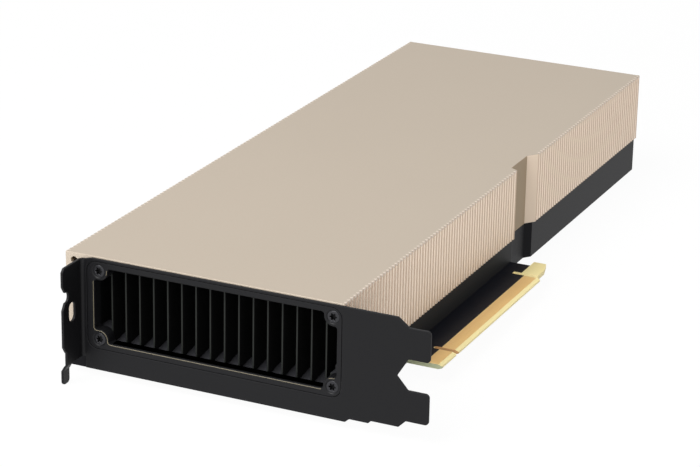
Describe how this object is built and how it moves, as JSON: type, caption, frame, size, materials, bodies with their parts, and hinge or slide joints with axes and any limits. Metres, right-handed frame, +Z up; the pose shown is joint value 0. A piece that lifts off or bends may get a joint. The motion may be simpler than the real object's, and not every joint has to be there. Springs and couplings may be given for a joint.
{
  "type": "passive accelerator card",
  "caption": "Dual-slot passively cooled accelerator card: ribbed metal cover over a lengthwise heat sink, vaned air inlet in a steel bracket, edge connector on one long side.",
  "frame": {"origin": "corner where the planes of the tab's seating face (X = 0), the bracket plate's outer face (Y = 0) and the tray's underside (Z = 0) meet", "axes": "+X across the card towards the edge connector, +Y along the card from the bracket to the rear end, +Z up out of the tray's underside"},
  "size_m": [0.1258, 0.2791, 0.041],
  "materials": {
    "gold_cover": "fine bead-blasted champagne anodise",
    "black_tray": "satin black coating",
    "bracket_steel": "satin black coating on steel",
    "black_frame": "satin black, with a bright machined edge round the inlet",
    "black_duct": "matte black moulding",
    "dark_screw": "dark plated",
    "circuit_board": "dark solder mask",
    "contact_gold": "gold plated",
    "package_laminate": "green laminate",
    "silicon": "polished grey silicon",
    "memory_black": "black mould compound",
    "plated_steel": "nickel plated",
    "sink_copper": "nickel-free copper",
    "sink_fins": "mill finish",
    "inductor_grey": "pressed powder",
    "thermal_pad": "soft gap filler",
    "capacitor": "moulded case",
    "connector_black": "moulded nylon"
  },
  "bodies": {
    "root": {"mounting_bracket": "bracket_steel", "front_frame": "black_frame", "front_frame_screws": "dark_screw", "inlet_vanes": "black_duct", "top_cover": "gold_cover", "base_tray": "black_tray", "connector_rail": "black_tray", "circuit_board": "circuit_board", "edge_contacts_top": "contact_gold", "edge_contacts_bottom": "contact_gold", "processor_substrate": "package_laminate", "processor_die": "silicon", "memory_stacks": "memory_black", "package_stiffener": "plated_steel", "heat_sink_base": "sink_copper", "heat_sink_fins": "sink_fins", "board_standoffs": "plated_steel", "heat_sink_standoffs": "plated_steel", "tray_screws": "dark_screw", "clamp_screws": "dark_screw", "power_inductors": "inductor_grey", "thermal_pads": "thermal_pad", "bulk_capacitors": "capacitor", "power_connector": "connector_black", "power_connector_pins": "contact_gold", "rear_frame": "black_frame"}
  },
  "joints": []
}
